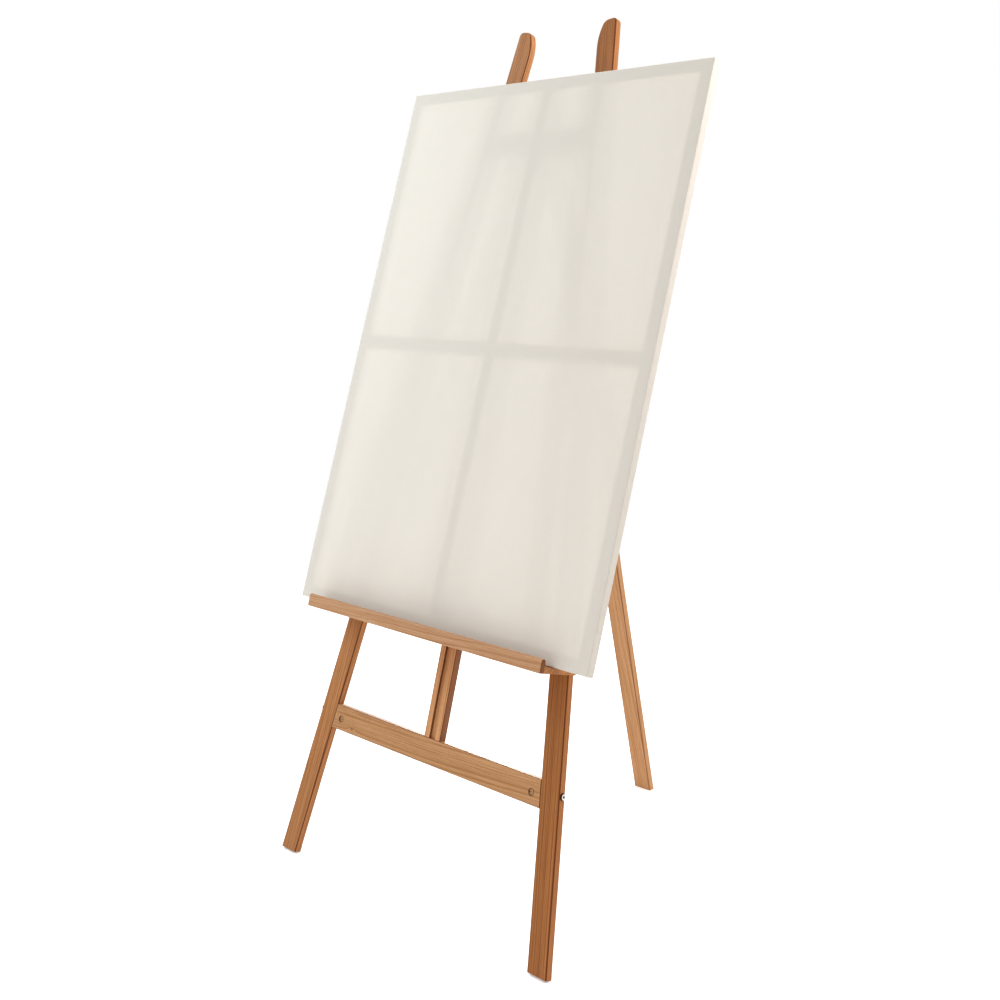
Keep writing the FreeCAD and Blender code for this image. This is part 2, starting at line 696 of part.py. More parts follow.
def clamp(cheek):
    """A threaded insert in the right cheek, and the stud and knob that press on the mast's side."""
    y, z = "clamp_depth", f"{SHELF_TOP} + clamp_height"
    bore = "clamp_radius + drill_gap"
    drill(cheek, at(f"{SLIDER_INSIDE} - 1", y, z, axis=RIGHT), bore, "carriage_cheek + 2")
    seat = f"{SLIDER_OUTSIDE} - insert_length"
    drill(cheek, at(seat, y, z, axis=RIGHT), "insert_radius", "insert_length + 1")
    insert = new_body("clamp_insert", at(seat, y, z, FRAME, RIGHT))
    revolve(insert, [(bore, "0"), ("insert_radius", "0"), ("insert_radius", "insert_length"),
                     (bore, "insert_length")])
    tip = "(mast_width / 2 + stud_gap)"
    point = "clamp_radius * 0.75"
    stud = new_body("clamp_stud", at(tip, y, z, FRAME, RIGHT))
    revolve(stud, [("0", "0"), (point, "0"), ("clamp_radius", f"clamp_radius - {point}"),
                   ("clamp_radius", "stud_length"), ("0", "stud_length")])
    start = f"({SLIDER_OUTSIDE} + knob_gap)"
    neck, total = "knob_neck_height", "(knob_neck_height + knob_height)"
    hole_end = f"({tip} + stud_length - {start})"
    knob = new_body("clamp_knob", at(start, y, z, FRAME, RIGHT))
    revolve(knob, [(bore, "0"), ("knob_neck_radius", "0"), ("knob_neck_radius", neck), ("knob_radius", neck),
                   ("knob_radius", total), ("0", total), ("0", hole_end), (bore, hole_end)])
    ring = sketch_on(knob, "XY_Plane", total)
    circle(ring, "scallop_offset", "0", "scallop_radius")
    scallop = pocket(knob, ring, "knob_height")
    pattern = knob.newObject("PartDesign::PolarPattern", "knob_scallops")
    pattern.Originals = [scallop]
    pattern.Axis = (ring, ["N_Axis"])
    pattern.Angle = 360
    pattern.Occurrences = 6
    knob.Tip = pattern
    doc.recompute()
    faces = (number(neck), number(total))
    round_edges(knob, "board_round", lambda edge: edge.BoundBox.ZLength < 0.01
                and any(abs(edge.BoundBox.ZMin - face) < 0.01 for face in faces)
                and max(vertex.Point.x ** 2 + vertex.Point.y ** 2 for vertex in edge.Vertexes)
                > (number("knob_neck_radius") + 1) ** 2)


# ---- stretched canvas, drawn upright with its back at y = 0 and its foot at z = 0 ----

def bar(label, corners):
    """One mitred stretcher bar, drawn from the front."""
    body = new_body(label, CANVAS)
    sketch = sketch_on(body, "XZ_Plane")
    outline(sketch, corners)
    pad(body, sketch, "bar_thickness")
    return body


def stretcher():
    """Four mitred bars and two crossed braces, a cloth's thickness inside the outline of the canvas."""
    half, foot = "(canvas_width / 2 - cloth_thickness)", "cloth_thickness"
    head = "(canvas_height - cloth_thickness)"
    inner, low, high = f"({half} - bar_width)", f"({foot} + bar_width)", f"({head} - bar_width)"
    bar("stretcher_bottom_bar", [(f"-{half}", foot), (half, foot), (inner, low), (f"-{inner}", low)])
    bar("stretcher_top_bar", [(f"-{inner}", high), (inner, high), (half, head), (f"-{half}", head)])
    right = bar("stretcher_right_bar", [(half, foot), (half, head), (inner, high), (inner, low)])
    mirrored("stretcher_left_bar", right)
    front, half_lap = "(-brace_inset - brace_thickness)", "brace_thickness / 2"
    middle = "(canvas_height - brace_width) / 2"
    level = board("stretcher_brace", CANVAS, (f"-{inner}", inner), (middle, f"{middle} + brace_width"),
                  front, "brace_thickness", rounding=None)
    notch(level, ("-brace_width / 2", front, middle), "brace_width", half_lap, "brace_width")
    upright = board("stretcher_upright", CANVAS, ("-brace_width / 2", "brace_width / 2"), (low, high),
                    front, "brace_thickness", rounding=None)
    notch(upright, ("-brace_width / 2", f"{front} + {half_lap}", middle), "brace_width", half_lap, "brace_width")


def canvas_cloth():
    """One sheet, tight over the front and round the sides, and folded in over the back of the bars."""
    half, layer = "canvas_width / 2", "cloth_thickness"
    cloth = board("canvas_cloth", CANVAS, (f"-{half}", half), ("0", "canvas_height"),
                  f"-bar_thickness - {layer}", f"bar_thickness + 2 * {layer}", rounding=None)
    notch(cloth, (f"cloth_fold - {half}", "0", "cloth_fold"),
          "canvas_width - 2 * cloth_fold", layer, "canvas_height - 2 * cloth_fold")
    notch(cloth, (f"{layer} - {half}", "-bar_thickness", layer),
          f"canvas_width - 2 * {layer}", "bar_thickness", f"canvas_height - 2 * {layer}")


def staples():
    """The staples that hold the folded cloth on the back of the bars, evenly spaced along each side."""
    pattern = new_body("staple", FreeCAD.Placement(), is_node=False)
    sketch = sketch_on(pattern, "XY_Plane")
    reach, side = "staple_length / 2", "staple_width / 2"
    outline(sketch, [(f"-{reach}", f"-{side}"), (reach, f"-{side}"), (reach, side), (f"-{reach}", side)])
    pad(pattern, sketch, "staple_height")
    wide, high = number("canvas_width"), number("canvas_height")
    inset, pitch, y = number("staple_inset"), number("staple_pitch"), number("cloth_thickness")
    flat = FreeCAD.Placement(V(0, 0, 0), FreeCAD.Rotation(RIGHT, -90))
    upright = flat * FreeCAD.Placement(V(0, 0, 0), FreeCAD.Rotation(UP, 90))
    pieces = []
    along = int(wide / pitch)
    for index in range(along):
        x = (index + 0.5) * wide / along - wide / 2
        for z in (inset, high - inset):
            pieces.append((pattern, CANVAS * FreeCAD.Placement(V(x, y, z), FreeCAD.Rotation()) * flat))
    rising = int(high / pitch)
    for index in range(rising):
        z = (index + 0.5) * high / rising
        for x in (inset - wide / 2, wide / 2 - inset):
            pieces.append((pattern, CANVAS * FreeCAD.Placement(V(x, y, z), FreeCAD.Rotation()) * upright))
    group("canvas_staples", pieces)


def rail_screws(rail_body, mast_body, cheeks):
    """The screws from the upper rail into the hinge cheeks, and from the groove into the upper rail."""
    middle = f"({CHEEK_INSIDE} + cheek_thickness / 2)"
    heights = [f"upper_rail_base + {share} * rail_height" for share in (0.25, 0.75)]
    fasten("cheek_screws", "middle_screw", BACK, [
        ((f"{side} * {middle}", 0, height), (rail_body, cheek))
        for side, cheek in cheeks.items() for height in heights])
    fasten("lap_screws", "short_screw", BACK, [
        ((0, "groove_depth", height), (mast_body, rail_body)) for height in heights])


def write_parts():
    """Checks every object, then writes each node's shape under its label."""
    doc.recompute()
    for item in doc.Objects:
        if any(state in ("Invalid", "Error") for state in item.State):
            raise RuntimeError(f"{item.Label} failed: {item.State}")
    os.makedirs("parts", exist_ok=True)
    for item in nodes:
        if item.Shape.isNull() or not item.Shape.isValid():
            raise RuntimeError(f"{item.Label} has no valid shape")
        item.Shape.exportStep(f"parts/{item.Label}.step")
        print(f"{item.Label}: {len(item.Shape.Solids)} solids, {item.Shape.Volume / 1000:.2f} cm3")


mirrored("left_front_leg", front_leg())
lower_rail()
mast_dowels()
joint_hardware()
rail_screws(upper_rail(), mast(), {
    -1: hinge_cheek("left_hinge_cheek", "-" + CHEEK_OUTSIDE),
    1: hinge_cheek("right_hinge_cheek", CHEEK_INSIDE)})
hinge_hardware()
rear_leg()
clamp(carriage(tray()))
stretcher()
canvas_cloth()
staples()
write_parts()
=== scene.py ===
import math

import bmesh
import bpy
import numpy as np
from mathutils import Matrix, Vector


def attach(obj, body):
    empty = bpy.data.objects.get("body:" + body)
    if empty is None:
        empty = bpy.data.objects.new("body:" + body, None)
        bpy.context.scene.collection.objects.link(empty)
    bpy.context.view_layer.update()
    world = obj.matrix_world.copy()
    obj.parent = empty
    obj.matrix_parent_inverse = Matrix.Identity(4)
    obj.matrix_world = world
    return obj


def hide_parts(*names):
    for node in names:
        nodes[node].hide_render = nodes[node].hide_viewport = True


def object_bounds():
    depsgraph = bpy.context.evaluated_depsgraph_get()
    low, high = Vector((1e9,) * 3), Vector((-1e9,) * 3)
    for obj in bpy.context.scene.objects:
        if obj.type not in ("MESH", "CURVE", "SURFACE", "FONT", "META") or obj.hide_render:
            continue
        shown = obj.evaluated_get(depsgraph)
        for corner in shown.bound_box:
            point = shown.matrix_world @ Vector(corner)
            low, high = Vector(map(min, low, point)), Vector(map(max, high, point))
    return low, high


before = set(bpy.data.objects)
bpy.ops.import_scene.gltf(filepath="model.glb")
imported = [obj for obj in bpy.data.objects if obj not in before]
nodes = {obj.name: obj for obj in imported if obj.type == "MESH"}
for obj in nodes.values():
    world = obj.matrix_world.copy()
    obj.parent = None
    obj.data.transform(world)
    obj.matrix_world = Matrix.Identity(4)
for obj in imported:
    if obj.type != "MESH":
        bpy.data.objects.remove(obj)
cad_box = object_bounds()

# ---- camera: where the photographer stood, in metres ----

CAMERA_PLACE = Vector((1.5211, -1.7133, 1.1011))
CAMERA_YAW = math.radians(43.33)
CAMERA_PITCH = math.radians(-7.80)
CAMERA_LENS = 45.3                   # millimetres, on the default 36 mm wide sensor
CAMERA_SHIFT = -0.065                # the picture is cut from the lower part of a larger one

# ---- the cloth, in metres ----

CLOTH_FOLD = 0.018                   # how far it comes in over the back of the bars
CLOTH_EDGE = 0.0013                  # radius where it turns round an arris
CLOTH_LAYER = 0.0004                 # what Solidify gives it, inside the outer surface
CORNER_ROUND = 0.0016                # of the outline, seen from the front
PUCKER = 0.00025                     # how far the folded cloth rises between two staples
STAPLE_PITCH = 0.1
FRAY = 0.0006                        # how uneven its cut edge is
PLEAT = 0.0004                       # how far a folded corner stands proud of the cloth
TOUCHING = 1e-6                      # nearer than this, two points are one

# ---- the joints between legs and rails, in metres ----

HOLE_RADIUS = 0.0051                 # of a barrel nut's hole in a rail
HOLE_DEPTH = 0.009                   # its rim lies this far from the middle of the nut
HEAD_RADIUS = 0.00525                # of a connector bolt
HEAD_DEPTH = 0.05                    # more than half the length of such a bolt
HEAD_SHADE_RIM = 0.0007                    # how wide a band of its edge is painted black as shade
SOCKET_RADIUS = 0.0022
HOLE_SHADE_START = 0.0004                   # the painted shade round a hole in wood starts to fade this far outside it
HOLE_SHADE_END = 0.0018
SHORT_FADE = 0.001                   # over which such painted shade ends
SHARP_FADE = 0.0002                  # over which the painted shade on a bolt head ends
BETWEEN_RAILS = 0.8                  # a height with one rail below it and the other above

# ---- the knot in the lower rail ----

KNOT_ACROSS = 0.55                   # of the rail's half height below its middle
KNOT_ALONG = 0.055                   # metres from the rail's left end
KNOT_STRETCH = (1.0, 0.15, 0.45)     # how fast it fades across, through and along the board
KNOT_FADE = 220.0                    # per metre
KNOT_SWELL = 0.008                   # how far the rings give way round it, in metres

# ---- how often wood and cloth vary in a metre: across, through and along the grain or the threads ----

WAVE = (9.0, 9.0, 2.2)               # the slow bends of the grain
BROAD = (34.0, 34.0, 1.6)            # wide pale and dark bands
FIBRE = (620.0, 620.0, 9.0)
RAY = (1500.0, 1500.0, 210.0)        # the short dark flecks of beech
WARP = (1500.0, 1.0, 26.0)
WEFT = (26.0, 1.0, 1500.0)
CLOUD = (7.0, 7.0, 7.0)              # slow unevenness of the paint

# ---- how a board's colour is made up ----

WAVE_SIZE = 0.016                    # metres that the grain wanders
LOG_LEAN = (math.radians(1.3), math.radians(0.8), 0.0)     # of the log against the board
RING_SHARE = 0.55                    # of the late wood's colour that comes from the rings
FIBRE_SHARE = 0.35
BROAD_SHARE = 0.3
RAY_SHARE = 0.42                     # of the fleck's colour in a fleck
HOLE_SHADE_SHARE = 0.85                     # of the painted shade's colour round a hole

# ---- how often a metal's shine varies in a metre ----

TARNISH = (160.0, 160.0, 160.0)
SCRATCHES = (2600.0, 2600.0, 2600.0)
BRUSH_LINES = (900.0, 9000.0, 2600.0)

# ---- depths of relief, in metres ----

GRAIN_DEPTH = 0.00012
SCRATCH_DEPTH = 0.00004
THREAD_PITCH = 0.0011
PRIMED_DEPTH = 0.00010
BARE_DEPTH = 0.00022

# ---- the floor ----

FLOOR_RADIUS = 2.6
FLOOR_GLOW = 0.25                    # what keeps it as white as the wall behind
FADE_START, FADE_END = 0.5, 0.95     # of the radius, between which it fades into nothing

# ---- the studio: a wall of light behind the easel and a dimmer room in front of it ----

WALL_SIDE = (-0.69, 0.72, 0.0)       # the way to the wall from the easel
ROOM_LIGHT = 0.80                    # against 1 for the wall
WALL_EDGES = (-0.3, 0.75)            # where its light starts and is full, as cosines from WALL_SIDE
WHITE = (1.0, 1.0, 1.0)
DAYLIGHT = (0.76, 0.92, 1.0)         # bluer than the room
LAMPS = {                            # place and target from the easel's middle, diameter, watts, tint
    "key": ((-2.0, -1.1, 1.3), (0.0, 0.0, 0.1), 1.2, 38.0, DAYLIGHT),
    "behind_left": ((-2.1, 2.4, -0.2), (0.0, 0.0, 0.2), 0.3, 54.0, WHITE),
    "behind_right": ((0.9, 2.9, 0.2), (0.0, 0.0, 0.2), 0.3, 31.0, WHITE),
    "over_right": ((1.1, 0.4, 1.4), (0.1, 0.0, 0.7), 0.5, 20.0, WHITE),
}

# ---- colours as they are in white light ----


def colour(code):
    """A linear RGBA colour from an sRGB code such as C89A6A."""
    channels = [int(code[i:i + 2], 16) / 255 for i in (0, 2, 4)]
    return [c / 12.92 if c <= 0.04045 else ((c + 0.055) / 1.055) ** 2.4 for c in channels] + [1.0]


BEECH = {                            # early wood, late wood
    "pale": (colour("C19166"), colour("9B6A3E")),
    "warm": (colour("B37A4A"), colour("8A5328")),
    "red": (colour("A86B36"), colour("7D461F")),
    "golden": (colour("D09868"), colour("A86F42")),
    "fair": (colour("C59B75"), colour("A4724B")),
}
BEECH_FLECK = colour("6B3A1A")
# painted shade for beech: darkens rounded edges, the mast's narrow sides and the wood round holes and bolt
# heads
BEECH_SHADE = colour("552208")
KNOB_BEECH = (colour("9A6238"), colour("74431F"))
PINE = (colour("E3C596"), colour("C99F62"))
PINE_FLECK = colour("A97F4A")
PRIMER = colour("E8DED2")
# painted shade for the canvas's sides
CANVAS_SIDE_SHADE = colour("9C948A")
RAW_COTTON = colour("DFD7C6")
GLOW = colour("E9E9E8")              # of the light that comes through the cloth
NICKEL = colour("CFCBC2")
ZINC = colour("B9BCC0")
BRASS = colour("C9A35A")
BURNISHED = colour("B08A62")
# painted shade in a bolt's socket and round the edge of its head
BOLT_SHADE = colour("241C16")
FLOOR = colour("FBFBFB")


# ---- shader helpers ----

def new_material(name):
    material = bpy.data.materials.new(name)
    material.use_nodes = True
    material.node_tree.nodes.clear()
    return material, material.node_tree


def add(tree, kind, inputs=None, **settings):
    """A shader node with its settings and its inputs, each a value or another node's output."""
    node = tree.nodes.new("ShaderNode" + kind)
    for key, value in settings.items():
        setattr(node, key, value)
    for key, value in (inputs or {}).items():
        if isinstance(value, bpy.types.NodeSocket):
            tree.links.new(value, node.inputs[key])
        else:
            node.inputs[key].default_value = value
    return node


def maths(tree, operation, first, second=0.0):
    return add(tree, "Math", {0: first, 1: second}, operation=operation).outputs[0]


def scaled(tree, vector, factors):
    """A vector with each of its components multiplied."""
    return add(tree, "VectorMath", {0: vector, 1: factors}, operation="MULTIPLY").outputs[0]


def noise(tree, vector, detail=2.0, roughness=0.5):
    return add(tree, "TexNoise", {"Vector": vector, "Scale": 1.0, "Detail": detail,
                                  "Roughness": roughness}).outputs["Fac"]


def ramp(tree, value, low, high):
    """0 below low, 1 above high and smooth between them."""
    return add(tree, "MapRange", {"Value": value, "From Min": low, "From Max": high},
               interpolation_type="SMOOTHSTEP").outputs["Result"]


def mix(tree, share, first, second):
    """A colour between two others."""
    node = add(tree, "Mix", data_type="RGBA")
    for socket, value in (("Factor_Float", share), ("A_Color", first), ("B_Color", second)):
        target = next(item for item in node.inputs if item.identifier == socket)
        if isinstance(value, bpy.types.NodeSocket):
            tree.links.new(value, target)
        else:
            target.default_value = value
    return next(item for item in node.outputs if item.identifier == "Result_Color")


def bump(tree, height, distance, strength):
    return add(tree, "Bump", {"Height": height, "Distance": distance,
                              "Strength": strength}).outputs["Normal"]


def surface(tree, shader):
    add(tree, "OutputMaterial", {"Surface": shader})


def paint(node, material):
    """Gives a CAD node its material."""
    for slot in nodes[node].material_slots:
        slot.link = "OBJECT"
        slot.material = material


# ---- where a board's grain runs ----

UP_OR_RIGHT = (0.1, 0, 1)            # a board's Z runs up, or to the right where it lies level


def board_frame(node):
    """A board's own frame: X across it, Y through its thickness, Z along its grain; and its half sizes.

    Most of a board's skin looks through its thickness and least of it looks along its length, so the
    areas of its faces, gathered by direction, give the axes. Its corners give the middle and sizes.
    """
    mesh = nodes[node].data
    gathered = np.zeros((3, 3))
    for face in mesh.polygons:
        normal = np.array(face.normal)
        gathered += face.area * np.outer(normal, normal)
    along, _, through = np.linalg.eigh(gathered)[1].T
    if along @ UP_OR_RIGHT < 0:
        along = -along
    if through[1] < 0:
        through = -through
    across = np.cross(through, along)
    axes = np.array([across, through, along])
    points = np.array([vertex.co for vertex in mesh.vertices]) @ axes.T
    low, high = points.min(0), points.max(0)
    turn = Matrix(axes.tolist()).transposed().to_4x4()
    turn.translation = Vector(((low + high) / 2 @ axes).tolist())
    return turn, Vector(((high - low) / 2).tolist())


def right_hand_axis(node, low, high):
    """The middle of a CAD node's long piece on the right between two heights, and the way it runs."""
    corners = np.array([vertex.co for vertex in nodes[node].data.vertices
                        if vertex.co.x > 0 and low < vertex.co.z < high])
    return Vector(corners.mean(0).tolist()), Vector(np.linalg.eigh(np.cov(corners.T))[1][:, 2].tolist())


def grain_space(tree, node, shift):
    """A point in the board's own frame, moved by shift along it and not moved, and where the skin looks."""
    turn, _ = board_frame(node)
    place = add(tree, "TexCoord")
    local = add(tree, "Mapping", {"Vector": place.outputs["Object"], "Location": turn.translation,
                                  "Rotation": turn.to_euler()}, vector_type="TEXTURE").outputs[0]
    looks = add(tree, "Mapping", {"Vector": place.outputs["Normal"], "Rotation": turn.to_euler()},
                vector_type="TEXTURE").outputs[0]
    moved = add(tree, "VectorMath", {0: local, 1: (0.0, 0.0, shift)}, operation="ADD").outputs[0]
    return moved, local, looks


# ---- materials ----

def from_axis(tree, axis):
    """How far a point is from an axis on the right, or its twin on the left, and how far along it."""
    middle, along = axis
    part = add(tree, "SeparateXYZ", {0: add(tree, "TexCoord").outputs["Object"]})
    folded = add(tree, "CombineXYZ", {0: maths(tree, "ABSOLUTE", part.outputs[0]), 1: part.outputs[1],
                                      2: part.outputs[2]}).outputs[0]
    away = add(tree, "VectorMath", {0: folded, 1: middle}, operation="SUBTRACT").outputs[0]
    sideways = add(tree, "VectorMath", {0: away, 1: along}, operation="CROSS_PRODUCT").outputs[0]
    distance = add(tree, "VectorMath", {0: sideways}, operation="LENGTH").outputs["Value"]
    reach = add(tree, "VectorMath", {0: away, 1: along}, operation="DOT_PRODUCT").outputs["Value"]
    return distance, maths(tree, "ABSOLUTE", reach)


def painted_hole_shade(tree, axis, radius, depth):
    """1 in a drilled hole and just round it, where shade is painted dark into the wood, and 0 further out.
    """
    distance, reach = from_axis(tree, axis)
    rim = maths(tree, "SUBTRACT", 1.0, ramp(tree, distance, radius + HOLE_SHADE_START, radius + HOLE_SHADE_END))
    near = maths(tree, "SUBTRACT", 1.0, ramp(tree, reach, depth, depth + SHORT_FADE))
    return maths(tree, "MULTIPLY", rim, near)


def wood(node, tones, fleck, shift, pith, rings=420.0, knot=None, hole_shades=(), edge=0.9, sides=0.0,
         ends=0.6, satin=0.52):
    """Oiled wood cut from a log whose middle line, pith, lies at (x, y) beside the board.

    rings is about how many growth rings there are in a metre of radius, knot is an (x, z) on the board
    and the holes are an axis, a radius and a depth each, round which shade is painted dark into the wood.
    edge and sides are how much shade is painted dark onto its rounded edges and its narrow sides, ends is
    how dark its end grain is, and satin is its mean roughness.
    """
    material, tree = new_material("wood_" + node)
    place, local, looks = grain_space(tree, node, shift)

    waves = add(tree, "TexNoise", {"Vector": scaled(tree, place, WAVE), "Scale": 1.0,
                                   "Detail": 2.0}).outputs["Color"]
    sway = add(tree, "VectorMath", {0: waves, 1: (-0.5, -0.5, -0.5)}, operation="ADD").outputs[0]
    bent = add(tree, "VectorMath", {0: scaled(tree, sway, (WAVE_SIZE, WAVE_SIZE, 0.0)), 1: place},
               operation="ADD").outputs[0]
    leaning = add(tree, "Mapping", {"Vector": bent, "Location": (pith[0], pith[1], 0.0),
                                    "Rotation": LOG_LEAN}).outputs[0]
    radius = add(tree, "VectorMath", {0: scaled(tree, leaning, (1.0, 1.0, 0.0))},
                 operation="LENGTH").outputs["Value"]
    if knot:
        to_knot = add(tree, "VectorMath", {0: local, 1: (-knot[0], 0.0, -knot[1])},
                      operation="ADD").outputs[0]
        distance = add(tree, "VectorMath", {0: scaled(tree, to_knot, KNOT_STRETCH)},
                       operation="LENGTH").outputs["Value"]
        bulge = maths(tree, "POWER", math.e, maths(tree, "MULTIPLY", distance, -KNOT_FADE))
        radius = maths(tree, "ADD", radius, maths(tree, "MULTIPLY", bulge, KNOT_SWELL))
    ring = add(tree, "TexNoise", {"W": radius, "Scale": rings, "Detail": 1.5, "Roughness": 0.45},
               noise_dimensions="1D").outputs["Fac"]
    late = ramp(tree, ring, 0.38, 0.68)
    fibre = noise(tree, scaled(tree, bent, FIBRE), detail=3.0, roughness=0.62)
    broad = noise(tree, scaled(tree, bent, BROAD))
    ray = noise(tree, scaled(tree, bent, RAY), detail=1.0)

    from_rings = maths(tree, "MULTIPLY", late, RING_SHARE)
    from_fibre = maths(tree, "MULTIPLY", ramp(tree, fibre, 0.36, 0.66), FIBRE_SHARE)
    from_broad = maths(tree, "MULTIPLY", ramp(tree, broad, 0.35, 0.65), BROAD_SHARE)
    tone = maths(tree, "ADD", maths(tree, "ADD", from_rings, from_fibre), from_broad)
    tone = add(tree, "Clamp", {"Value": tone}).outputs[0]
    colours = mix(tree, tone, tones[0], tones[1])
    on_ray = maths(tree, "MULTIPLY", ramp(tree, ray, 0.60, 0.72), RAY_SHARE)
    colours = mix(tree, on_ray, colours, fleck)
    if knot:
        colours = mix(tree, ramp(tree, bulge, 0.45, 0.9), colours, BEECH_FLECK)
    # painted shade round each barrel nut's hole and each bolt head
    for hole in hole_shades:
        rim = maths(tree, "MULTIPLY", painted_hole_shade(tree, *hole), HOLE_SHADE_SHARE)
        colours = mix(tree, rim, colours, BEECH_SHADE)

    part = add(tree, "SeparateXYZ", {0: looks})
    # painted shade: the rounded edges, where a face turns between across and through, are made darker
    turned = maths(tree, "ABSOLUTE", maths(tree, "MULTIPLY", part.outputs[0], part.outputs[1]))
    shaded_edge = maths(tree, "MULTIPLY", ramp(tree, turned, 0.12, 0.42), edge)
    colours = mix(tree, shaded_edge, colours, BEECH_SHADE if edge > 0.3 else tones[1])
    # painted shade: the narrow sides, such as the mast's sides and the walls of its groove, are made darker
    side_shade = ramp(tree, maths(tree, "ABSOLUTE", part.outputs[0]), 0.7, 0.95)
    colours = mix(tree, maths(tree, "MULTIPLY", side_shade, sides), colours, BEECH_SHADE)
    on_end = ramp(tree, maths(tree, "ABSOLUTE", part.outputs[2]), 0.7, 0.95)
    colours = mix(tree, maths(tree, "MULTIPLY", on_end, ends), colours, fleck)

    rough = maths(tree, "ADD", maths(tree, "MULTIPLY", fibre, 0.22), satin - 0.11)
    relief = maths(tree, "ADD", maths(tree, "MULTIPLY", fibre, 0.7), maths(tree, "MULTIPLY", ray, 0.5))
    shader = add(tree, "BsdfPrincipled", {
        "Base Color": colours, "Roughness": rough, "Normal": bump(tree, relief, GRAIN_DEPTH, 0.55),
        "Specular IOR Level": 0.15})
    surface(tree, shader.outputs[0])
    paint(node, material)


def metal(name, tint, rough, brushed=False, bolts=()):
    """A plated or turned metal with fine scratches and a slightly uneven shine.

    The bolts given are axes of bolts whose sockets and head rims are painted black as shade.
    """
    material, tree = new_material(name)
    place = add(tree, "TexCoord").outputs["Object"]
    cloud = noise(tree, scaled(tree, place, TARNISH), detail=3.0)
    lines = noise(tree, scaled(tree, place, BRUSH_LINES if brushed else SCRATCHES))
    darker = [channel * 0.72 for channel in tint[:3]] + [1.0]
    colours = mix(tree, ramp(tree, cloud, 0.42, 0.75), tint, darker)
    # painted shade: each bolt's socket and a band round the edge of its head are made black
    for axis in bolts:
        distance, _ = from_axis(tree, axis)
        outside = ramp(tree, distance, SOCKET_RADIUS - SHARP_FADE, SOCKET_RADIUS)
        rim = maths(tree, "MULTIPLY",
                    ramp(tree, distance, HEAD_RADIUS - HEAD_SHADE_RIM, HEAD_RADIUS - SHARP_FADE),
                    ramp(tree, distance, HEAD_RADIUS + SHORT_FADE, HEAD_RADIUS))
        colours = mix(tree, rim, colours, BOLT_SHADE)
        colours = mix(tree, outside, BOLT_SHADE, colours)
    roughness = maths(tree, "ADD", maths(tree, "MULTIPLY", cloud, 0.16), rough - 0.08)
    shader = add(tree, "BsdfPrincipled", {
        "Base Color": colours, "Metallic": 1.0, "Roughness": roughness,
        "Normal": bump(tree, lines, SCRATCH_DEPTH, 0.5)})
    surface(tree, shader.outputs[0])
    return material


def weave(tree, place):
    """The height of a plain weave in the board's own XZ plane: two sets of threads, over and under."""
    part = add(tree, "SeparateXYZ", {0: place})
    turns = 2 * math.pi / THREAD_PITCH
    warp = maths(tree, "SINE", maths(tree, "MULTIPLY", part.outputs[0], turns))
    weft = maths(tree, "SINE", maths(tree, "MULTIPLY", part.outputs[2], turns))
    return maths(tree, "MULTIPLY", warp, weft)


def cloth(name, tint, depth, through, rough, slubs, sides=0.0):
    """Cotton canvas, bare or under paint.

    depth is how deep its weave is, through what share of light it lets through, slubs how uneven its
    threads look and sides how much shade is painted dark onto its sides, which face neither forward nor
    back.
    """
    material, tree = new_material(name)
    place, local, looks = grain_space(tree, "canvas_cloth", 0.0)
    cloud = noise(tree, scaled(tree, place, CLOUD), detail=3.0)
    both_ways = maths(tree, "ADD", noise(tree, scaled(tree, place, WARP)),
                      noise(tree, scaled(tree, place, WEFT)))
    threads = maths(tree, "MULTIPLY", both_ways, 0.5)
    shade = maths(tree, "ADD", maths(tree, "MULTIPLY", ramp(tree, threads, 0.40, 0.62), slubs),
                  maths(tree, "MULTIPLY", ramp(tree, cloud, 0.35, 0.7), slubs * 0.25))
    darker = [channel * 0.86 for channel in tint[:3]] + [1.0]
    colours = mix(tree, shade, tint, darker)
    # painted shade: the canvas's sides, which face neither forward nor back, are made darker
    forwards = maths(tree, "ABSOLUTE", add(tree, "SeparateXYZ", {0: looks}).outputs[1])
    shaded_canvas_side = maths(tree, "MULTIPLY", maths(tree, "SUBTRACT", 1.0, ramp(tree, forwards, 0.3, 0.9)), sides)
    colours = mix(tree, shaded_canvas_side, colours, CANVAS_SIDE_SHADE)
    woven = maths(tree, "ADD", maths(tree, "MULTIPLY", weave(tree, local), 0.5),
                  maths(tree, "MULTIPLY", threads, 1.2))
    normal = bump(tree, woven, depth, 0.6)
    front = add(tree, "BsdfPrincipled", {
        "Base Color": colours, "Roughness": rough, "Normal": normal, "Specular IOR Level": 0.2,
        "Sheen Weight": 0.08, "Sheen Roughness": 0.5})
    behind = add(tree, "BsdfTranslucent", {"Color": GLOW, "Normal": normal})
    shader = add(tree, "MixShader", {0: through, 1: front.outputs[0], 2: behind.outputs[0]})
    surface(tree, shader.outputs[0])
    return material


def joint_axes(node):
    """The axes of the two pieces a CAD node has on the right, at the lower rail and at the upper rail."""
    return right_hand_axis(node, 0.0, BETWEEN_RAILS), right_hand_axis(node, BETWEEN_RAILS, cad_box[1].z)


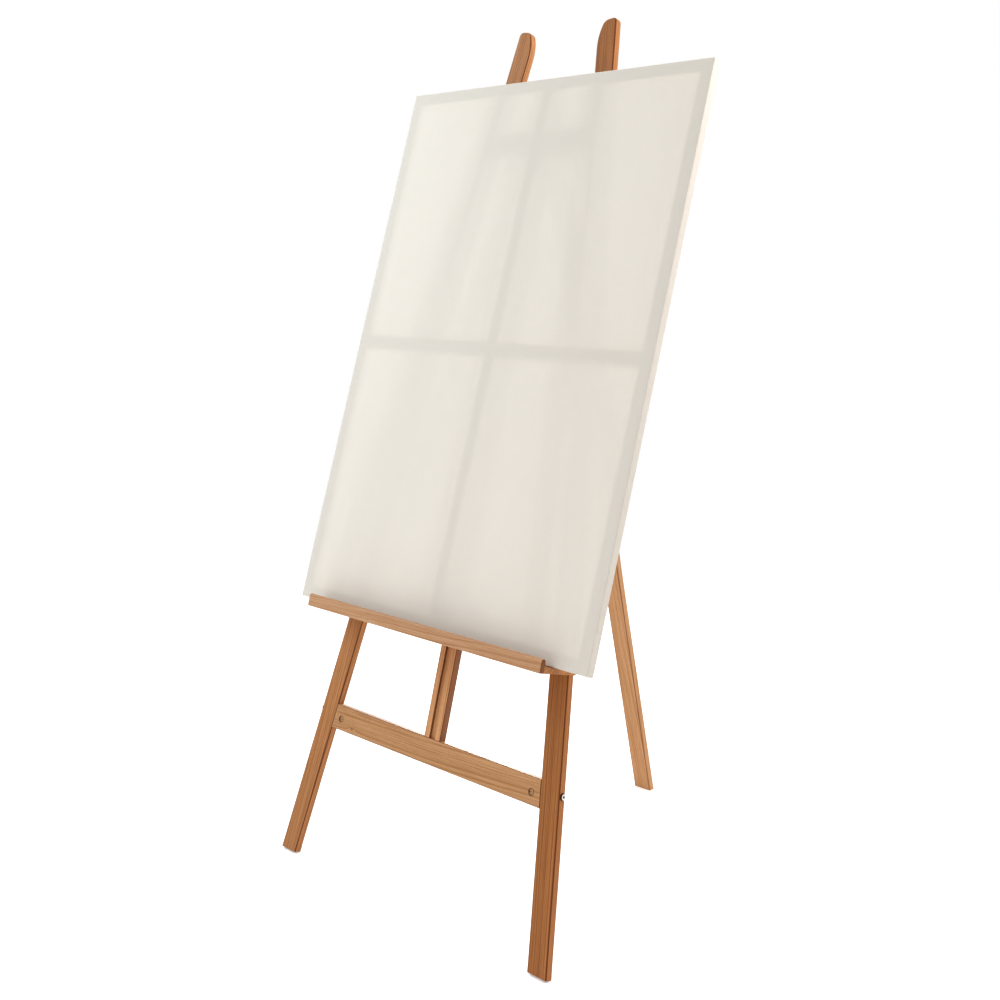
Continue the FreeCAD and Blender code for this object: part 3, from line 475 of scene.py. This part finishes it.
def finish_wood():
    """Each board with its own cut: where along the log it came from, and where the log's middle lay."""
    cuts = {
        "right_front_leg": ("red", 3.1, (0.05, 0.09)),
        "left_front_leg": ("warm", 7.4, (-0.06, 0.12)),
        "lower_rail": ("pale", 11.6, (0.004, 0.045)),
        "upper_rail": ("warm", 15.2, (0.01, 0.06)),
        "mast": ("golden", 19.9, (0.08, 0.05)),
        "rear_leg": ("pale", 23.3, (0.07, 0.10)),
        "tray_shelf": ("warm", 27.7, (0.0, 0.08)),
        "tray_lip": ("fair", 31.4, (0.01, 0.07)),
        "tray_stiffener": ("pale", 35.1, (0.02, 0.05)),
        "carriage_plate": ("warm", 39.8, (0.0, 0.06)),
        "carriage_strap": ("pale", 43.5, (0.01, 0.05)),
        "guide_tongue": ("pale", 47.3, (0.03, 0.05)),
        "left_carriage_cheek": ("pale", 51.9, (0.03, 0.06)),
        "right_carriage_cheek": ("pale", 55.2, (0.02, 0.06)),
        "left_hinge_cheek": ("red", 59.6, (0.03, 0.05)),
        "right_hinge_cheek": ("red", 63.4, (0.02, 0.06)),
        "mast_dowels": ("pale", 67.0, (0.02, 0.04)),
    }
    _, half = board_frame("lower_rail")
    low_nut, high_nut = joint_axes("barrel_nuts")
    heads = [(axis, HEAD_RADIUS, HEAD_DEPTH) for axis in joint_axes("joint_bolts")]
    # the holes marks are painted shade round barrel nuts and bolt heads; the mast's sides mark is painted
    # shade
    marks = {
        "right_front_leg": {"hole_shades": heads},
        "left_front_leg": {"hole_shades": heads},
        "lower_rail": {"hole_shades": [(low_nut, HOLE_RADIUS, HOLE_DEPTH)],
                       "knot": (KNOT_ACROSS * half.x, KNOT_ALONG - half.z)},
        "upper_rail": {"hole_shades": [(high_nut, HOLE_RADIUS, HOLE_DEPTH)]},
        "mast": {"sides": 0.75},
        "rear_leg": {"edge": 0.6},
        "tray_lip": {"edge": 0.2, "ends": 0.95},
        "tray_shelf": {"ends": 0.0},
    }
    for node, (tone, shift, pith) in cuts.items():
        wood(node, BEECH[tone], BEECH_FLECK, shift, pith, **marks.get(node, {}))
    wood("clamp_knob", KNOB_BEECH, BEECH_FLECK, 71.0, (0.02, 0.03), edge=0.0, satin=0.34)
    bars = ("bottom_bar", "top_bar", "right_bar", "left_bar", "brace", "upright")
    for index, name in enumerate(bars):
        wood("stretcher_" + name, PINE, PINE_FLECK, 80.0 + 5.3 * index, (0.015, 0.07), rings=260.0,
             edge=0.15, satin=0.62)


def finish_metal():
    nickel = metal("nickel", NICKEL, 0.24)
    zinc = metal("zinc", ZINC, 0.38)
    turned_brass = metal("turned_brass", BRASS, 0.30, brushed=True)
    stud = metal("zinc_stud", ZINC, 0.34, brushed=True)
    wire = metal("staple_wire", NICKEL, 0.34)
    for node in ("hinge_bolt", "hinge_washers", "hinge_nut"):
        paint(node, nickel)
    paint("joint_bolts", metal("nickel_bolts", NICKEL, 0.24, bolts=joint_axes("joint_bolts")))
    paint("barrel_nuts", metal("burnished_steel", BURNISHED, 0.5, brushed=True))
    for node in ("lap_screws", "cheek_screws", "tray_screws", "carriage_screws", "plate_screws"):
        paint(node, zinc)
    paint("clamp_insert", turned_brass)
    paint("clamp_stud", stud)
    paint("canvas_staples", wire)


# ---- the canvas ----

def rounded_loop(half_x, half_z, radius, per_side, per_corner):
    """Points (x, z) round a rectangle with round corners, anticlockwise from the foot of the right side.

    Each comes with how far it is along its side, from 0 to 1, or None in a corner.
    """
    inner_x, inner_z = half_x - radius, half_z - radius
    sides = (((half_x, -inner_z), (half_x, inner_z)), ((inner_x, half_z), (-inner_x, half_z)),
             ((-half_x, inner_z), (-half_x, -inner_z)), ((-inner_x, -half_z), (inner_x, -half_z)))
    centres = ((inner_x, inner_z), (-inner_x, inner_z), (-inner_x, -inner_z), (inner_x, -inner_z))
    points = []
    for quarter, (start, end) in enumerate(sides):
        count = per_side[quarter % 2]
        for step in range(count + 1):
            share = step / count
            x = start[0] + (end[0] - start[0]) * share
            z = start[1] + (end[1] - start[1]) * share
            points.append((x, z, share))
        for step in range(1, per_corner):
            angle = math.pi / 2 * (quarter + step / per_corner)
            points.append((centres[quarter][0] + radius * math.cos(angle),
                           centres[quarter][1] + radius * math.sin(angle), None))
    return points


def skin(bm, loops):
    """Joins each loop of points to the next with quads."""
    rows = [[bm.verts.new(point) for point in loop] for loop in loops]
    for first, second in zip(rows, rows[1:]):
        count = len(first)
        for index in range(count):
            after = (index + 1) % count
            bm.faces.new((first[index], first[after], second[after], second[index]))
    return rows


def new_piece(name, bm, turn, material, body):
    """Turns a bmesh drawn in a board's frame into a smooth object that rides on a body."""
    bmesh.ops.recalc_face_normals(bm, faces=bm.faces)
    mesh = bpy.data.meshes.new(name)
    bm.to_mesh(mesh)
    bm.free()
    mesh.transform(turn)
    for face in mesh.polygons:
        face.use_smooth = True
    piece = bpy.data.objects.new(name, mesh)
    bpy.context.scene.collection.objects.link(piece)
    mesh.materials.append(material)
    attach(piece, body)
    return piece


def canvas_wrap(primed, raw):
    """The cloth: tight in front, round the sides and over the back, where it rises between staples."""
    turn, half = board_frame("canvas_cloth")
    front, back = -half.y, half.y
    per_side = (40, 28)
    per_corner = 5

    def loop(inset, depth, corner=CORNER_ROUND, pucker=0.0, ragged=0.0):
        """A loop of the cloth, this far inside its outline and this deep through the canvas."""
        points = rounded_loop(half.x - inset, half.z - inset, corner, per_side, per_corner)
        made = []
        for index, (x, z, share) in enumerate(points):
            level = abs(abs(z) - half.z + inset) < TOUCHING
            along = x if level else z
            rise = pucker * (0.5 - 0.5 * math.cos(2 * math.pi * along / STAPLE_PITCH)) if share else 0.0
            fray = ragged * (math.sin(37.0 * index) + math.sin(11.3 * index)) / 2
            shrink = 1 - fray / half.x
            made.append((x * shrink, depth + rise, z * shrink))
        return made

    turns = [math.radians(angle) for angle in (0, 22.5, 45, 67.5, 90)]
    loops = [loop(half.x * share, front, corner=0.001) for share in (0.98, 0.75, 0.5, 0.25, 0.1, 0.02)]
    loops += [loop(CLOTH_EDGE * (1 - math.sin(turn_by)), front + CLOTH_EDGE * (1 - math.cos(turn_by)))
              for turn_by in turns]
    side_steps = (0.25, 0.5, 0.75)
    loops += [loop(0.0, front + CLOTH_EDGE + (2 * half.y - 2 * CLOTH_EDGE) * share)
              for share in side_steps]
    loops += [loop(CLOTH_EDGE * (1 - math.cos(turn_by)), back - CLOTH_EDGE * (1 - math.sin(turn_by)))
              for turn_by in turns]
    fold_steps = (0.2, 0.4, 0.6, 0.8, 1.0)
    loops += [loop(CLOTH_FOLD * share, back, pucker=PUCKER * math.sin(math.pi * share / 1.25),
                   ragged=FRAY if share == 1.0 else 0.0) for share in fold_steps]
    bm = bmesh.new()
    rows = skin(bm, loops)
    bm.faces.new(rows[0])
    piece = new_piece("canvas_wrap", bm, turn, primed, "canvas")
    piece.data.materials.append(raw)
    layer = piece.modifiers.new("layer", "SOLIDIFY")
    layer.thickness = CLOTH_LAYER
    layer.offset = -1
    layer.material_offset = 1
    layer.material_offset_rim = 1
    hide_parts("canvas_cloth")
    return piece, turn, half


def corner_pleats(primed, turn, half):
    """The spare cloth folded flat at each corner, on the ends of the canvas and on its back."""
    bm = bmesh.new()
    depth = 2 * half.y - 2 * CLOTH_EDGE

    def wedge(points, lift):
        """A flat three-sided layer on the cloth, as thick as lift is long."""
        low = [bm.verts.new(point) for point in points]
        high = [bm.verts.new(Vector(point) + lift) for point in points]
        bm.faces.new(high)
        bm.faces.new(list(reversed(low)))
        for index in range(3):
            after = (index + 1) % 3
            bm.faces.new((low[index], low[after], high[after], high[index]))

    for side in (-1, 1):
        for end in (-1, 1):
            x, z = side * (half.x - CORNER_ROUND), end * half.z
            inner = x - side * depth
            near, far = -half.y + CLOTH_EDGE, half.y - CLOTH_EDGE
            wedge([(x, near, z), (x, far, z), (inner, far, z)], Vector((0, 0, end * PLEAT)))
            x, z = side * (half.x - CLOTH_EDGE), end * (half.z - CLOTH_EDGE)
            reach = CLOTH_FOLD - 2 * CLOTH_EDGE
            inner, lower = x - side * reach, z - end * reach
            wedge([(x, half.y, z), (inner, half.y, z), (inner, half.y, lower)], Vector((0, PLEAT, 0)))
    piece = new_piece("canvas_pleats", bm, turn, primed, "canvas")
    for face in piece.data.polygons:
        face.use_smooth = False
    return piece


def dress_canvas():
    primed = cloth("primed_canvas", PRIMER, PRIMED_DEPTH, through=0.22, rough=0.62, slubs=0.2, sides=0.2)
    raw = cloth("raw_cotton", RAW_COTTON, BARE_DEPTH, through=0.30, rough=0.85, slubs=0.8)
    wrap, turn, half = canvas_wrap(primed, raw)
    pleats = corner_pleats(primed, turn, half)


# ---- stage ----

def light(name, place, target, size, power, tint):
    data = bpy.data.lights.new(name, "AREA")
    data.shape = "DISK"
    data.size = size
    data.energy = power
    data.color = tint
    lamp = bpy.data.objects.new(name, data)
    bpy.context.scene.collection.objects.link(lamp)
    lamp.location = place
    lamp.rotation_euler = (target - place).to_track_quat("-Z", "Y").to_euler()


def floor():
    """A round white floor that ends in nothing, so that it has no seam and no horizon."""
    bm = bmesh.new()
    bmesh.ops.create_circle(bm, cap_ends=True, segments=96, radius=FLOOR_RADIUS)
    mesh = bpy.data.meshes.new("floor")
    bm.to_mesh(mesh)
    bm.free()
    item = bpy.data.objects.new("floor", mesh)
    bpy.context.scene.collection.objects.link(item)
    material, tree = new_material("floor_white")
    place = add(tree, "TexCoord").outputs["Object"]
    distance = add(tree, "VectorMath", {0: place}, operation="LENGTH").outputs["Value"]
    white = add(tree, "AddShader", {0: add(tree, "BsdfDiffuse", {"Color": FLOOR}).outputs[0],
                                    1: add(tree, "Emission", {"Strength": FLOOR_GLOW}).outputs[0]})
    share = ramp(tree, distance, FLOOR_RADIUS * FADE_START, FLOOR_RADIUS * FADE_END)
    faded = add(tree, "MixShader", {0: share, 1: white.outputs[0],
                                    2: add(tree, "BsdfTransparent").outputs[0]})
    surface(tree, faded.outputs[0])
    mesh.materials.append(material)


def studio_light():
    """The world: white where the wall is, dimmer the further a direction turns away from it."""
    world = bpy.data.worlds.new("studio")
    world.use_nodes = True
    tree = world.node_tree
    direction = add(tree, "TexCoord").outputs["Generated"]
    towards = add(tree, "VectorMath", {0: direction, 1: WALL_SIDE},
                  operation="DOT_PRODUCT").outputs["Value"]
    extra = maths(tree, "MULTIPLY", ramp(tree, towards, *WALL_EDGES), 1.0 - ROOM_LIGHT)
    background = tree.nodes["Background"]
    background.inputs["Color"].default_value = (*WHITE, 1.0)
    tree.links.new(maths(tree, "ADD", extra, ROOM_LIGHT), background.inputs["Strength"])
    bpy.context.scene.world = world


def stage():
    """A white room with its lamps: a large soft one at the upper left and three small ones."""
    floor()
    studio_light()
    bpy.context.scene.view_settings.view_transform = "Standard"

    middle = (cad_box[0] + cad_box[1]) / 2
    for name, (place, target, size, power, tint) in LAMPS.items():
        light(name, middle + Vector(place), middle + Vector(target), size, power, tint)


def camera():
    data = bpy.data.cameras.new("photographer")
    data.lens = CAMERA_LENS
    data.shift_y = CAMERA_SHIFT
    item = bpy.data.objects.new("photographer", data)
    item.location = CAMERA_PLACE
    item.rotation_euler = (math.pi / 2 + CAMERA_PITCH, 0.0, CAMERA_YAW)
    bpy.context.scene.collection.objects.link(item)
    bpy.context.scene.camera = item


camera()
stage()
finish_wood()
finish_metal()
dress_canvas()
